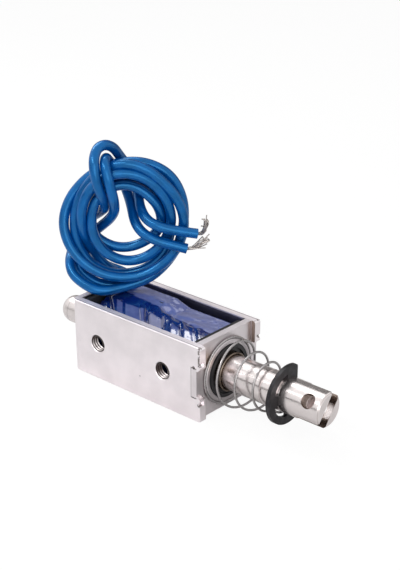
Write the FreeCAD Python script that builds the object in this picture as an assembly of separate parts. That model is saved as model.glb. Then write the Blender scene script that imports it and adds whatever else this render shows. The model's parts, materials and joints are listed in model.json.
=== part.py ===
import FreeCAD, Part
import math, os

V = FreeCAD.Vector
ALONG = V(1, 0, 0)

# Frame: sheet steel bent to a U, open at the front and at the top
frame_length = 30.0
frame_width = 15.0
frame_height = 13.5
sheet = 1.4
bend_radius = 1.6
hole_spacing = 15.2
rear_hole_inset = 6.45
screw_radius = 1.5
mouth_chamfer = 0.15
upper_lug = 3.95
lower_lug = 4.35
lug_overhang = 0.8
edge_round = 0.2
rear_upper_round = 0.5
rear_lower_round = 1.2
front_round = 0.5

# Staking: metal of each lug pushed over the plate's ear, with the punch mark beside it
notch_gap = 0.15
stake_reach = 0.3
stake_root = 0.5
stake_lip = 0.25
stake_width = 0.9
punch_offset = 0.3
punch_width = 0.9
punch_depth = 0.4

# Front plate and the ring that stands in it
plate_thickness = 1.2
plate_foot_gap = 0.25
plate_side_clearance = 0.05
collar_outer_radius = 5.45
collar_inner_radius = 4.65
collar_stand = 0.4
edge_break = 0.1

# Bobbin
flange_thickness = 1.0
rear_float = 0.2
flange_side_clearance = 0.1
flange_top_inset = 0.3
flange_corner = 1.0
barrel_radius = 4.1
snout_stand = 0.6
snout_step = 0.4
snout_clearance = 0.03

# Guide tube, fixed core and shim
plunger_radius = 3.0
running_clearance = 0.08
tube_wall = 0.3
tube_clearance = 0.03
tube_lip_stand = 1.4
core_length = 10.6
core_clearance = 0.02
spigot_radius = 2.0
rivet_flare = 0.3
rod_clearance = 0.075
shim_thickness = 0.2
shim_play = 0.08

# Winding and its wrap
winding_side_gap = 0.8
winding_half_height = 4.4
winding_corner = 2.5
tape_side_gap = 0.35
tape_front_top = 5.75
tape_rear_top = 6.7
tape_bottom = 4.9
tape_thickness = 0.12
tape_corner = 1.6
tape_rear_inset = 4.45
tape_front_gap = 0.1
tape_bulge_end = 13.5
tape_slope = 3.0

# Plunger, rod and cap
stroke = 10.0
end_play = 0.1
plunger_stand = 20.8
tip_chamfer = 0.3
turned_line = 9.2
turned_line_width = 0.2
turned_line_depth = 0.06
slot_width = 2.1
slot_depth = 5.0
cross_hole_radius = 1.25
cross_hole_inset = 2.35
plunger_roll = 37.3
rod_radius = 1.25
rod_grip = 5.0
cap_radius = 2.5
cap_straight = 6.75
cap_gap = 0.05

# Clip in its groove
clip_stand = 12.3
clip_thickness = 0.7
clip_radius = 5.1
clip_side_play = 0.05
clip_bore_play = 0.03
groove_radius = 2.5
clip_mouth = 4.3
clip_arm_reach = 2.05
clip_relief_radius = 3.8
clip_back_prong = 18.0
clip_arm_prong = 97.0
clip_tip_round = 0.6

# Spring: cone wound from one wire, closed at both ends
spring_wire = 0.4
spring_play = 0.02
spring_collar_gap = 0.05
spring_tip_radius = 3.3
spring_dead_turns = 0.75
spring_rise_turns = 4.3
spring_closed_turns = 0.6
spring_cone_start = 0.6
spring_cone_end = 3.9
spring_lean = 0.3
spring_sag = 0.35
spring_ramp = 0.12
spring_steps = 14

# Leads
lead_radius = 0.875
lead_spacing = 2.05
lead_side_gap = 1.75
pad_thickness = 0.12
pad_length = 9.0
pad_width = 5.2
pad_start = 6.0
sleeve_radius = 1.0
sleeve_length = 4.2
sleeve_start = 9.0
sleeve_grip = 1.0
joint_radius = 0.5
joint_length = 2.0
magnet_wire_radius = 0.13
magnet_wire_rest = 0.3
magnet_wire_drop = 1.4
magnet_wire_end = 3.2
magnet_wire_sway = 0.3
strand_bundle_radius = 0.25
hank_x = 4.0
hank_turn = 43.6
hank_lean = 26.3
hank_centre = (1.6, 12.75)
hank_outer = 11.6
hank_inner = 4.9
hank_stretch = 1.063
hank_back = 5.2
hank_front = 2.4
hank_clearance = 0.15

# Each route runs in millimetres right, up and towards the viewer from the hank's foot on the frame's top
riser_foot = 3.5
riser_top = 8.2
riser_lean = 0.45
riser_sway = 0.15
riser_rest = 1.4
tail_a = [
    (-4.6, 10.8, -3.0), (-3.6, 11.6, -3.2), (-2.3, 12.5, -2.1), (-0.9, 13.4, -0.4), (0.1, 14.5, 1.8),
    (0.0, 16.4, 3.4), (-0.5, 18.5, 3.5), (-1.0, 20.7, 3.3), (-1.4, 22.8, 2.3), (-1.2, 24.2, 0.6),
    (-0.9, 24.2, -2.3), (0.1, 23.2, -4.5), (1.2, 21.2, -5.3), (2.1, 18.6, -4.3), (2.8, 15.8, -1.9),
    (3.3, 12.6, 0.6), (4.7, 10.3, 2.4), (7.1, 8.9, 3.0), (9.6, 8.1, 3.3), (12.1, 7.4, 3.3),
]
tail_b = [
    (-4.7, 14.2, -5.0), (-3.5, 14.7, -4.2), (-2.3, 15.1, -2.1), (-1.5, 15.5, 0.5), (-1.8, 16.6, 2.6),
    (-2.5, 18.4, 3.4), (-2.9, 20.3, 3.4), (-3.1, 22.4, 3.0), (-3.0, 24.2, 2.0), (-2.5, 25.7, 0.8),
    (-1.4, 26.5, -0.1), (0.0, 26.3, -1.3), (1.1, 24.9, -3.3), (2.6, 22.8, -4.3), (3.5, 20.5, -4.4),
    (4.0, 17.9, -2.6), (4.3, 15.1, 0.2), (5.4, 12.7, 2.5), (7.6, 11.3, 3.5), (10.6, 10.6, 3.2),
    (13.9, 10.1, 3.0),
]
strands_a = [(12.1, 7.4, 3.3), (13.2, 7.6, 3.3), (14.4, 8.3, 3.4), (15.7, 9.1, 3.4)]
strands_b = [(13.9, 10.1, 3.0), (14.7, 10.2, 3.1), (15.3, 11.2, 3.4), (15.5, 12.4, 3.6)]

# Places that follow from the sizes, measured from the back face on the plunger's axis
half_width = frame_width / 2
half_height = frame_height / 2
plate_front = frame_length - lug_overhang
plate_back = plate_front - plate_thickness
ear_low = -half_height + lower_lug
ear_high = half_height - upper_lug
bobbin_back = sheet + rear_float
winding_back = bobbin_back + flange_thickness
winding_half_width = half_width - sheet - winding_side_gap
tape_half_width = half_width - sheet - tape_side_gap
winding_front = plate_back - flange_thickness
tube_bore = plunger_radius + running_clearance
tube_radius = tube_bore + tube_wall
rod_bore = rod_radius + rod_clearance
pole_face = sheet + core_length
plunger_rear = pole_face + shim_thickness + end_play + stroke
plunger_tip = plate_front + plunger_stand
clip_back = plate_front + clip_stand
clip_front = clip_back + clip_thickness
spring_seat_radius = collar_outer_radius + spring_collar_gap + spring_wire / 2
lead_b = tape_half_width - lead_side_gap
lead_a = lead_b - lead_spacing
lead_height = winding_half_height + pad_thickness + sleeve_radius
joint_middle = sleeve_start + sleeve_length / 2
hank_foot = V(hank_x, 0, half_height)
datum = V(-(rear_hole_inset + hole_spacing / 2), half_width, 0)
corner_share = 1 - math.sqrt(0.5)
quarter_turn = 90

# Length that a cutting body runs past the surface it cuts, and share of a run that a cord's bend takes
past = 1.0
bend_share = 0.45


def box(x0, x1, y0, y1, z0, z1):
    return Part.makeBox(x1 - x0, y1 - y0, z1 - z0, V(x0, y0, z0))


def rod(x0, x1, radius):
    return Part.makeCylinder(radius, x1 - x0, V(x0, 0, 0), ALONG)


def turned(profile):
    """Solid turned about the plunger's axis from (x, radius) corners."""
    points = [V(x, 0, r) for x, r in profile]
    face = Part.Face(Part.makePolygon(points + points[:1]))
    return face.revolve(V(0, 0, 0), ALONG, 360)


def rounded_wire(corners, radii):
    """Closed outline through square corners, each rounded by its own radius."""
    edges = []
    count = len(corners)
    for index in range(count):
        corner = corners[index]
        following = (index + 1) % count
        to_last = (corners[index - 1] - corner).normalize()
        to_next = (corners[following] - corner).normalize()
        radius = radii[index]
        end = corner + to_next * radius
        if radius > 0:
            middle = corner + (to_last + to_next) * radius * corner_share
            edges.append(Part.Arc(corner + to_last * radius, middle, end))
        edges.append(Part.LineSegment(end, corners[following] - to_next * radii[following]))
    return Part.Wire([edge.toShape() for edge in edges])


def rounded_outline(x, half_w, z_low, z_high, corner):
    """Closed outline across the axis at x: a rectangle with round corners."""
    corners = [V(x, -half_w, z_low), V(x, half_w, z_low), V(x, half_w, z_high), V(x, -half_w, z_high)]
    return rounded_wire(corners, [corner] * 4)


def rounded_block(x0, x1, half_w, z_low, z_high, corner):
    return Part.Face(rounded_outline(x0, half_w, z_low, z_high, corner)).extrude(V(x1 - x0, 0, 0))


def hank_point(right, up, near):
    """Point of a lead's route: the hank faces the viewer, and its depth rises with the line of sight."""
    turn = math.radians(hank_turn)
    across = V(math.cos(turn), math.sin(turn), 0)
    towards = V(math.sin(turn), -math.cos(turn), math.tan(math.radians(hank_lean)))
    return hank_foot + across * right + towards * near + V(0, 0, up)


def tube_along(points, radius, name):
    """Round tube on straight runs joined by tangent arcs, each as large as its two runs allow."""
    edges = []
    start = points[0]
    bends = []
    for before, corner, after in zip(points, points[1:], points[2:]):
        inward = (before - corner).normalize()
        outward = (after - corner).normalize()
        half_turn = (math.pi - inward.getAngle(outward)) / 2
        shorter = min((before - corner).Length, (after - corner).Length)
        reach = bend_share * shorter
        bend = reach / math.tan(half_turn)
        bends.append(bend)
        first = corner + inward * reach
        last = corner + outward * reach
        middle_line = (inward + outward).normalize()
        centre = corner + middle_line * math.hypot(reach, bend)
        middle = centre - middle_line * bend
        edges.append(Part.LineSegment(start, first).toShape())
        edges.append(Part.Arc(first, middle, last).toShape())
        start = last
    edges.append(Part.LineSegment(start, points[-1]).toShape())
    path = Part.Wire(edges)
    direction = (points[1] - points[0]).normalize()
    section = Part.Wire(Part.makeCircle(radius, points[0], direction))
    shape = path.makePipeShell([section], True, False)
    ratio = shape.Volume / (math.pi * radius ** 2 * path.Length)
    print(name, "length", round(path.Length, 1), "volume ratio", round(ratio, 4),
          "smallest bend", round(min(bends), 2))
    return shape


def frame_yoke():
    inner = bend_radius - sheet
    outside = rounded_corner_u(0, half_width, bend_radius)
    inside = rounded_corner_u(sheet, half_width - sheet, inner)
    blank = rounded_block(0, frame_length, half_width, -half_height, half_height, edge_round)
    body = outside.cut(inside).common(blank).common(side_profile())
    for side in (-1, 1):
        y_mid = side * (half_width - sheet / 2)
        body = body.cut(box(plate_back, frame_length + past, y_mid - sheet, y_mid + sheet,
                            ear_low - notch_gap, ear_high + notch_gap))
        body = body.fuse(stake(side, ear_high, 1)).fuse(stake(side, ear_low, -1))
        body = body.cut(punch_mark(side, ear_high, 1)).cut(punch_mark(side, ear_low, -1))
    body = body.removeSplitter()
    near_face = V(0, -half_width, 0)
    for x in (rear_hole_inset, rear_hole_inset + hole_spacing):
        hole = Part.makeCylinder(screw_radius, sheet + 2 * past, near_face + V(x, -past, 0), V(0, 1, 0))
        mouth = Part.makeCone(screw_radius + mouth_chamfer, screw_radius, mouth_chamfer,
                              near_face + V(x, 0, 0), V(0, 1, 0))
        body = body.cut(hole).cut(mouth)
    rivet_seat = turned([(0, 0), (0, spigot_radius + rivet_flare), (rivet_flare, spigot_radius),
                         (sheet, spigot_radius), (sheet, 0)])
    return body.cut(rivet_seat)


def rounded_corner_u(x0, half_w, radius):
    """Block open to the front whose two rear upright corners are round."""
    z = -half_height
    corners = [V(frame_length, -half_w, z), V(x0, -half_w, z), V(x0, half_w, z), V(frame_length, half_w, z)]
    return Part.Face(rounded_wire(corners, [0, radius, radius, 0])).extrude(V(0, 0, frame_height))


def side_profile():
    """The frame seen from the side: a block with rounded corners."""
    y, low, high, far = -half_width, -half_height, half_height, frame_length
    corners = [V(far, y, low), V(0, y, low), V(0, y, high), V(far, y, high)]
    radii = [front_round, rear_lower_round, rear_upper_round, front_round]
    return Part.Face(rounded_wire(corners, radii)).extrude(V(0, frame_width, 0))


def lug_prism(side, corners):
    """Prism in the outer part of one wall from (x, z) corners."""
    y = side * half_width
    points = [V(x, y, z) for x, z in corners]
    return Part.Face(Part.makePolygon(points + points[:1])).extrude(V(0, -side * stake_width, 0))


def stake(side, edge, away):
    """Wedge of the lug's metal pushed over the ear; away is the lug's side of the ear's edge."""
    root = edge + away * (notch_gap + edge_round)
    tip = edge - away * stake_reach
    return lug_prism(side, [(plate_front, root), (plate_front, tip), (plate_front + stake_lip, tip),
                            (plate_front + stake_root, edge), (plate_front + stake_root, root)])


def punch_mark(side, edge, away):
    """Mark of the tool that pushed the metal over, in the lug's end."""
    near = edge + away * (notch_gap + punch_offset)
    far = near + away * punch_width
    bottom = (near + far) / 2
    return lug_prism(side, [(frame_length, near), (frame_length, far), (frame_length - punch_depth, bottom)])


def front_plate():
    half = half_width - sheet - plate_side_clearance
    body = box(plate_back, plate_front, -half, half, plate_foot_gap - half_height, half_height)
    ears = box(plate_back, plate_front, -half_width, half_width, ear_low, ear_high)
    return body.fuse(ears).removeSplitter().cut(rod(plate_back, plate_front, collar_outer_radius))


def collar_ring():
    front = plate_front + collar_stand
    outer, inner = collar_outer_radius, collar_inner_radius
    return turned([(plate_back, inner), (plate_back, outer), (front - edge_break, outer),
                   (front, outer - edge_break), (front, inner + edge_break), (front - edge_break, inner)])


def bobbin():
    half = half_width - sheet - flange_side_clearance
    high = half_height - flange_top_inset
    parts = []
    for x in (bobbin_back, winding_front):
        parts.append(rounded_block(x, x + flange_thickness, half, -high, high, flange_corner))
    parts.append(rod(bobbin_back, plate_back, barrel_radius))
    snout = collar_inner_radius - snout_clearance
    front = plate_front + snout_stand
    parts.append(rod(plate_back, front, snout))
    body = parts[0].multiFuse(parts[1:]).removeSplitter()
    step_radius = (snout + tube_radius) / 2
    body = body.cut(rod(front - snout_step, front, step_radius))
    return body.cut(rod(bobbin_back, front, tube_radius + tube_clearance))


def guide_tube():
    front = plate_front + tube_lip_stand
    back = bobbin_back
    lip = tube_wall / 3
    return turned([(back, tube_bore), (back, tube_radius), (front - lip, tube_radius),
                   (front, tube_radius - lip), (front, tube_bore + lip), (front - lip, tube_bore)])


def pole_core():
    outer = tube_bore - core_clearance
    return turned([(0, rod_bore), (0, spigot_radius + rivet_flare), (rivet_flare, spigot_radius),
                   (sheet, spigot_radius), (sheet, outer), (pole_face - edge_break, outer),
                   (pole_face, outer - edge_break), (pole_face, rod_bore)])


def stop_shim():
    inner = rod_bore + shim_play
    outer = plunger_radius
    return turned([(pole_face, inner), (pole_face, outer), (pole_face + shim_thickness, outer),
                   (pole_face + shim_thickness, inner)])


def coil_winding():
    body = rounded_block(winding_back, winding_front, winding_half_width, -winding_half_height,
                         winding_half_height, winding_corner)
    return body.cut(rod(winding_back, winding_front, barrel_radius))


def tape_wrap():
    """Film round the winding; it stands higher at the rear, where it covers the joints."""
    stations = [(tape_rear_inset, tape_rear_top), (tape_bulge_end, tape_rear_top),
                (tape_bulge_end + tape_slope, tape_front_top), (winding_front - tape_front_gap, tape_front_top)]
    skins = []
    for inset in (0, tape_thickness):
        outlines = [rounded_outline(x, tape_half_width - inset, inset - tape_bottom, top - inset,
                                    tape_corner - inset) for x, top in stations]
        skins.append(Part.makeLoft(outlines, True, True))
    return skins[0].cut(skins[1])


def joint_pad():
    half = pad_width / 2
    middle = (lead_a + lead_b) / 2
    return box(pad_start, pad_start + pad_length, middle - half, middle + half,
               winding_half_height, winding_half_height + pad_thickness)


def plunger():
    groove_back = clip_back - clip_side_play
    groove_front = clip_front + clip_side_play
    line = plate_front + turned_line
    r = plunger_radius
    body = turned([(plunger_rear, 0), (plunger_rear, r - tip_chamfer), (plunger_rear + tip_chamfer, r),
                   (line, r), (line, r - turned_line_depth), (line + turned_line_width, r - turned_line_depth),
                   (line + turned_line_width, r), (groove_back, r), (groove_back, groove_radius),
                   (groove_front, groove_radius), (groove_front, r), (plunger_tip - tip_chamfer, r),
                   (plunger_tip, r - tip_chamfer), (plunger_tip, 0)])
    body = body.cut(rod(plunger_rear, plunger_rear + rod_grip, rod_radius))
    beyond = r + past
    slot = box(plunger_tip - slot_depth, plunger_tip + past, -slot_width / 2, slot_width / 2, -beyond, beyond)
    hole = Part.makeCylinder(cross_hole_radius, 2 * beyond, V(plunger_tip - cross_hole_inset, -beyond, 0),
                             V(0, 1, 0))
    cuts = slot.fuse(hole)
    cuts.rotate(V(0, 0, 0), ALONG, -plunger_roll)
    return body.cut(cuts)


def push_rod():
    return rod(-cap_gap - rod_grip, plunger_rear + rod_grip, rod_radius)


def push_cap():
    inner = -cap_gap
    dome = inner - cap_straight
    body = rod(dome, inner, cap_radius).fuse(Part.makeSphere(cap_radius, V(dome, 0, 0))).removeSplitter()
    return body.cut(rod(inner - rod_grip, inner, rod_radius))


def sector(x0, x1, radius, start, end):
    """Slice of a disc between two angles, which count from +Y towards +Z."""
    disc = Part.makeCylinder(radius, x1 - x0, V(x0, 0, 0), ALONG, end - start)
    disc.rotate(V(0, 0, 0), ALONG, start - quarter_turn)
    return disc


def e_clip():
    """Open ring that bites the groove with three prongs; its mouth faces away from the near wall."""
    body = rod(clip_back, clip_front, clip_radius)
    beyond = clip_radius + past
    body = body.cut(box(clip_back, clip_front, clip_arm_reach, beyond, -beyond, beyond))
    body = body.cut(rod(clip_back, clip_front, groove_radius + clip_bore_play))
    half_mouth = clip_mouth / 2
    body = body.cut(box(clip_back, clip_front, 0, beyond, -half_mouth, half_mouth))
    for side in (-1, 1):
        middle = 180 - side * (clip_back_prong + 180 - clip_arm_prong) / 2
        half = (180 - clip_arm_prong - clip_back_prong) / 2
        body = body.cut(sector(clip_back, clip_front, clip_relief_radius, middle - half, middle + half))
    tips = [edge for edge in body.Edges if is_arm_tip(edge)]
    return body.makeFillet(clip_tip_round, tips)


def is_arm_tip(edge):
    """True for the two outer corners of the arms."""
    spot = edge.CenterOfMass
    misses = (math.hypot(spot.y, spot.z) - clip_radius, spot.y - clip_arm_reach, edge.Length - clip_thickness)
    return all(abs(miss) < clip_side_play for miss in misses)


def return_spring():
    """One wire on a helix that narrows towards the clip; between its ends it leans and sags a little."""
    seat = plate_front + spring_wire / 2 + spring_play
    end = clip_back - spring_wire / 2 - spring_play
    first = -spring_dead_turns
    last = spring_rise_turns + spring_closed_turns
    count = round((last - first) * spring_steps)
    points = []
    for step in range(count + 1):
        turn = first + (last - first) * step / count
        share = min(max(turn / spring_rise_turns, 0), 1)
        x = seat + (end - seat) * eased(share)
        cone = min(max((turn - spring_cone_start) / (spring_cone_end - spring_cone_start), 0), 1)
        radius = spring_seat_radius + (spring_tip_radius - spring_seat_radius) * cone
        angle = math.pi + 2 * math.pi * turn
        slack = math.sin(math.pi * share)
        x = x + spring_lean * slack * (1 + math.cos(angle))
        points.append(V(x, radius * math.cos(angle), radius * math.sin(angle) - spring_sag * slack ** 2))
    curve = Part.BSplineCurve()
    curve.interpolate(points)
    path = Part.Wire(curve.toShape())
    section = Part.Wire(Part.makeCircle(spring_wire / 2, points[0], curve.tangent(curve.FirstParameter)[0]))
    return path.makePipeShell([section], True, True)


def eased(share):
    """Rise from 0 to 1 with a soft start and a soft end."""
    if share < spring_ramp:
        return share ** 2 / (2 * spring_ramp * (1 - spring_ramp))
    if share > 1 - spring_ramp:
        return 1 - (1 - share) ** 2 / (2 * spring_ramp * (1 - spring_ramp))
    return (share - spring_ramp / 2) / (1 - spring_ramp)


def solder_joint(y):
    body = Part.makeSphere(1, V(0, 0, 0))
    shape = body.transformGeometry(FreeCAD.Matrix(
        joint_length / 2, 0, 0, joint_middle, 0, joint_radius, 0, y, 0, 0, joint_radius, lead_height))
    return shape


def splice_sleeve(y):
    start = V(sleeve_start, y, lead_height)
    outer = Part.makeCylinder(sleeve_radius, sleeve_length, start, ALONG)
    return outer.cut(Part.makeCylinder(lead_radius, sleeve_length, start, ALONG))


def coil_tail(y, name):
    """End of the magnet wire, from its joint down on to the winding."""
    start = joint_middle + joint_length / 2 - magnet_wire_radius
    low = winding_half_height + magnet_wire_radius
    run = sleeve_start + sleeve_length - start
    clear = start + run
    points = [V(start, y, lead_height), V(clear + magnet_wire_rest, y, lead_height),
              V(clear + magnet_wire_drop, y, low), V(clear + magnet_wire_end, y + magnet_wire_sway, low)]
    return tube_along(points, magnet_wire_radius, name)


def lead_riser(y, name):
    """Lead from its sleeve along the winding, then up over the frame's rear wall into the hank."""
    start = V(sleeve_start + sleeve_grip, y, lead_height)
    rest = V(sleeve_start - riser_rest, y, lead_height)
    foot = V(riser_foot, y + riser_sway, lead_height)
    top = V(riser_foot, y + riser_lean, riser_top)
    return tube_along([start, rest, foot, top], lead_radius, name)


def lead_tube(route, radius, name):
    return tube_along([hank_point(*p) for p in route], radius, name)


def lead_hank():
    """Outer shape of the coiled leads: a round ring, flat where it stands on the frame."""
    centre = hank_point(hank_centre[0], hank_centre[1], -hank_back)
    rise = V(0, 0, 1)
    across = (hank_point(1, 0, 0) - hank_point(0, 0, 0)).normalize()
    depth = hank_point(0, 0, hank_front) - hank_point(0, 0, -hank_back)
    faces = []
    for radius in (hank_outer, hank_inner):
        oval = Part.Ellipse(centre + rise * radius * hank_stretch, centre + across * radius, centre)
        faces.append(Part.Face(Part.Wire(oval.toShape())))
    ring = faces[0].cut(faces[1]).extrude(depth)
    top = half_height + hank_clearance
    reach = 3 * hank_outer
    return ring.cut(box(-reach, reach, -reach, reach, top - reach, top))


def save(name, shape):
    shape = shape.copy()
    shape.translate(datum)
    solids = shape.Solids
    whole = solids[0] if len(solids) == 1 else Part.makeCompound(solids)
    if not whole.isValid():
        print(name, "is not valid")
    whole.exportStep("parts/" + name + ".step")
    print(name, len(solids), round(whole.Volume, 2))


os.makedirs("parts", exist_ok=True)
save("frame_yoke", frame_yoke())
save("front_plate", front_plate())
save("collar_ring", collar_ring())
save("bobbin", bobbin())
save("guide_tube", guide_tube())
save("pole_core", pole_core())
save("stop_shim", stop_shim())
save("coil_winding", coil_winding())
save("tape_wrap", tape_wrap())
save("joint_pad", joint_pad())
save("plunger", plunger())
save("push_rod", push_rod())
save("push_cap", push_cap())
save("e_clip", e_clip())
save("return_spring", return_spring())
save("solder_joint_a", solder_joint(lead_a))
save("solder_joint_b", solder_joint(lead_b))
save("splice_sleeve_a", splice_sleeve(lead_a))
save("splice_sleeve_b", splice_sleeve(lead_b))
save("coil_tail_start", coil_tail(lead_a, "coil_tail_start"))
save("coil_tail_finish", coil_tail(lead_b, "coil_tail_finish"))
save("lead_riser_a", lead_riser(lead_a, "lead_riser_a"))
save("lead_riser_b", lead_riser(lead_b, "lead_riser_b"))
save("lead_hank", lead_hank())
save("lead_tail_a", lead_tube(tail_a, lead_radius, "lead_tail_a"))
save("lead_tail_b", lead_tube(tail_b, lead_radius, "lead_tail_b"))
save("conductor_a", lead_tube(strands_a, strand_bundle_radius, "conductor_a"))
save("conductor_b", lead_tube(strands_b, strand_bundle_radius, "conductor_b"))
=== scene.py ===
"""Dresses the push pull solenoid: finishes, film wrap, spring, threads, coiled leads and the stage."""
import bpy
import json
import math
from bpy.props import FloatProperty, FloatVectorProperty, IntProperty, PointerProperty
from mathutils import Matrix, Vector, noise


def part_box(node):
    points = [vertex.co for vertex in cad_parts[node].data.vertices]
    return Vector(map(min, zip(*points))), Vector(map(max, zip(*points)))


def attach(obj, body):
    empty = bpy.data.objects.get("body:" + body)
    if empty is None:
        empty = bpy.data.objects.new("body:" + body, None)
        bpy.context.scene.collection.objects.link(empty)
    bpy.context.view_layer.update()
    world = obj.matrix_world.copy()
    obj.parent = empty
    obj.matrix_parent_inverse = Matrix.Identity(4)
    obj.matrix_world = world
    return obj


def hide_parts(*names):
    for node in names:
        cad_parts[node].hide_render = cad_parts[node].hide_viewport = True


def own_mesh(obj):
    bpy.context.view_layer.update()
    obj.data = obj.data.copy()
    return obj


bl_info = {
    "name": "Push pull solenoid",
    "version": (1, 0, 0),
    "blender": (4, 5, 0),
    "location": "3D View > Sidebar > Solenoid",
    "description": "Builds the looks of a small push pull solenoid round its solid parts",
    "category": "Object",
}

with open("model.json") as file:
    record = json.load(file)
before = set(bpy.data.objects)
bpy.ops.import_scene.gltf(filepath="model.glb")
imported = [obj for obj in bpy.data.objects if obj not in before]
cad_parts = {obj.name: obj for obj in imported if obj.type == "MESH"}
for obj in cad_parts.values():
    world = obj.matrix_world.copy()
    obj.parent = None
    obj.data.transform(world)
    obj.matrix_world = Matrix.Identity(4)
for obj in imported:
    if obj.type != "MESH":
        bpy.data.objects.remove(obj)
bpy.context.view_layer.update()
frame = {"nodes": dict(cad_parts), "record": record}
NODES = frame["nodes"]
MM = 0.001
YOKE_LOW, YOKE_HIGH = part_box("frame_yoke")
FILM_LOW, FILM_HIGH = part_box("tape_wrap")
WINDING_LOW, WINDING_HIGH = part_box("coil_winding")
SPRING_LOW, SPRING_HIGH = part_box("return_spring")
SLEEVE_A_LOW, SLEEVE_A_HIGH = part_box("splice_sleeve_a")
SLEEVE_B_LOW, SLEEVE_B_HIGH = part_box("splice_sleeve_b")
BACK = YOKE_LOW.x
AXIS_Y = (YOKE_LOW.y + YOKE_HIGH.y) / 2
FRAME_TOP = YOKE_HIGH.z

# Sizes of the solids, in millimetres
WINDING_CORNER = 2.5
SPRING_WIDE, SPRING_NARROW = 5.7, 3.3
# Turn at which the spring starts to narrow, turns until it is narrow, and share of its rise that starts or ends softly
SPRING_CONE_START, SPRING_CONE_TURNS, SPRING_RAMP = 0.6, 3.3, 0.12
# Points on each turn
SPRING_STEPS, THREAD_STEPS = 40, 48
# Places that the finishes mark, in the part's own millimetres: across it, up from the axis, and along it
AXIS_ACROSS = 7.5
WALL_INSIDE, WALL_TOP = 6.2, 6.7
REAR_INSIDE, PLATE_BACK, PLATE_FACE, EAR_SEAM, LUG_TIP = -12.8, 14.05, 15.1, 13.95, 15.62
HOLE_ALONG = 7.6
CROSS_HOLE_Y, CROSS_HOLE_Z = -0.795, 0.606


def at(x, y, z):
    """Point from millimetres: x from the frame's back face, y and z from the plunger's axis."""
    return Vector((BACK + x * MM, AXIS_Y + y * MM, z * MM))


# Routes of the leads, in millimetres right, up and towards the viewer from the hank's foot on the frame's top
HANK_X = 4.0
HANK_TURN = math.radians(43.6)
HANK_LEAN = math.radians(26.3)
HANK_CENTRE = (1.6, 12.75)
HANK_STRETCH = 1.064
LEAD_RADIUS = 0.875
LEAD_START, LEAD_UNDER_SLEEVE, RISER_FOOT, RISER_TOP = 10.0, 7.6, 3.5, 8.2
RISER_SWAY, RISER_LEAN = 0.15, 0.45
RISE_A = [(-2.6, 5.4, -2.6), (-4.3, 8.3, -1.9), (-5.3, 10.4, -0.2)]
RISE_B = [(-3.4, 5.6, -4.7), (-5.5, 9.1, -5.1), (-6.4, 11.1, -4.1)]
# Stops on each turn of the hank, and radius and depth of each lead at every stop, clockwise from the left
TURN_STOPS = 8
TURNS_A = [
    (7.2, 1.4), (7.7, 1.6), (7.9, 1.6), (7.9, 1.3), (7.9, 1.0), (7.2, 1.1), (6.7, 0.9), (6.0, 1.2),
    (5.5, 1.2), (6.0, 0.6), (6.3, -0.5), (6.0, 0.1), (6.3, 0.3), (4.6, -0.7), (4.2, -0.8), (4.8, -0.9),
    (6.1, -1.4), (6.1, -1.0), (7.0, -2.3), (7.2, -2.4), (7.1, -2.4), (8.8, -2.3), (10.5, -0.6),
]
TURNS_B = [
    (7.8, -3.0), (7.5, -3.1), (8.9, -2.0), (8.5, -1.4), (7.7, -0.8), (8.5, 0.0), (8.9, 0.2), (9.2, -0.5),
    (8.5, -0.4), (8.7, -0.2), (9.6, 1.2), (9.1, 1.3), (10.1, 1.3), (9.8, 1.7), (9.7, 2.0), (10.0, 1.3),
    (10.4, -0.2), (9.8, -1.8), (10.1, -1.3), (11.1, -1.1), (10.0, -1.0), (9.9, -0.5), (11.1, 1.4),
]
BACK_ROUND_A = [(-3.0, 1.0, 0.1), (-6.5, 4.0, -1.2), (-6.6, 6.1, -2.2), (-5.6, 8.2, -3.1)]
BACK_ROUND_B = [(-3.2, -0.5, 3.0), (-7.4, 2.6, 1.2), (-8.2, 5.4, -0.6), (-7.9, 7.8, -3.2), (-7.4, 9.9, -5.5),
                (-6.4, 12.1, -6.3)]
TAIL_A = [
    (-4.6, 10.8, -3.0), (-3.6, 11.6, -3.2), (-2.3, 12.5, -2.1), (-0.9, 13.4, -0.4), (0.1, 14.5, 1.8),
    (0.0, 16.4, 3.4), (-0.5, 18.5, 3.5), (-1.0, 20.7, 3.3), (-1.4, 22.8, 2.3), (-1.2, 24.2, 0.6),
    (-0.9, 24.2, -2.3), (0.1, 23.2, -4.5), (1.2, 21.2, -5.3), (2.1, 18.6, -4.3), (2.8, 15.8, -1.9),
    (3.3, 12.6, 0.6), (4.7, 10.3, 2.4), (7.1, 8.9, 3.0), (9.6, 8.1, 3.3), (12.1, 7.4, 3.3),
]
TAIL_B = [
    (-4.7, 14.2, -5.0), (-3.5, 14.7, -4.2), (-2.3, 15.1, -2.1), (-1.5, 15.5, 0.5), (-1.8, 16.6, 2.6),
    (-2.5, 18.4, 3.4), (-2.9, 20.3, 3.4), (-3.1, 22.4, 3.0), (-3.0, 24.2, 2.0), (-2.5, 25.7, 0.8),
    (-1.4, 26.5, -0.1), (0.0, 26.3, -1.3), (1.1, 24.9, -3.3), (2.6, 22.8, -4.3), (3.5, 20.5, -4.4),
    (4.0, 17.9, -2.6), (4.3, 15.1, 0.2), (5.4, 12.7, 2.5), (7.6, 11.3, 3.5), (10.6, 10.6, 3.2),
    (13.9, 10.1, 3.0),
]
STRANDS_A = [(12.1, 7.4, 3.3), (13.2, 7.6, 3.3), (14.4, 8.3, 3.4), (15.7, 9.1, 3.4)]
STRANDS_B = [(13.9, 10.1, 3.0), (14.7, 10.2, 3.1), (15.3, 11.2, 3.4), (15.5, 12.4, 3.6)]
# Each strand's start inside the insulation and off its axis in millimetres, and its turn and twist in radians
STRAND_HOLD, STRAND_OFFSET, STRAND_TURN, STRAND_TWIST, STRANDS_PER_CURL = 0.8, 0.15, 2.4, 1.6, 3

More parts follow.
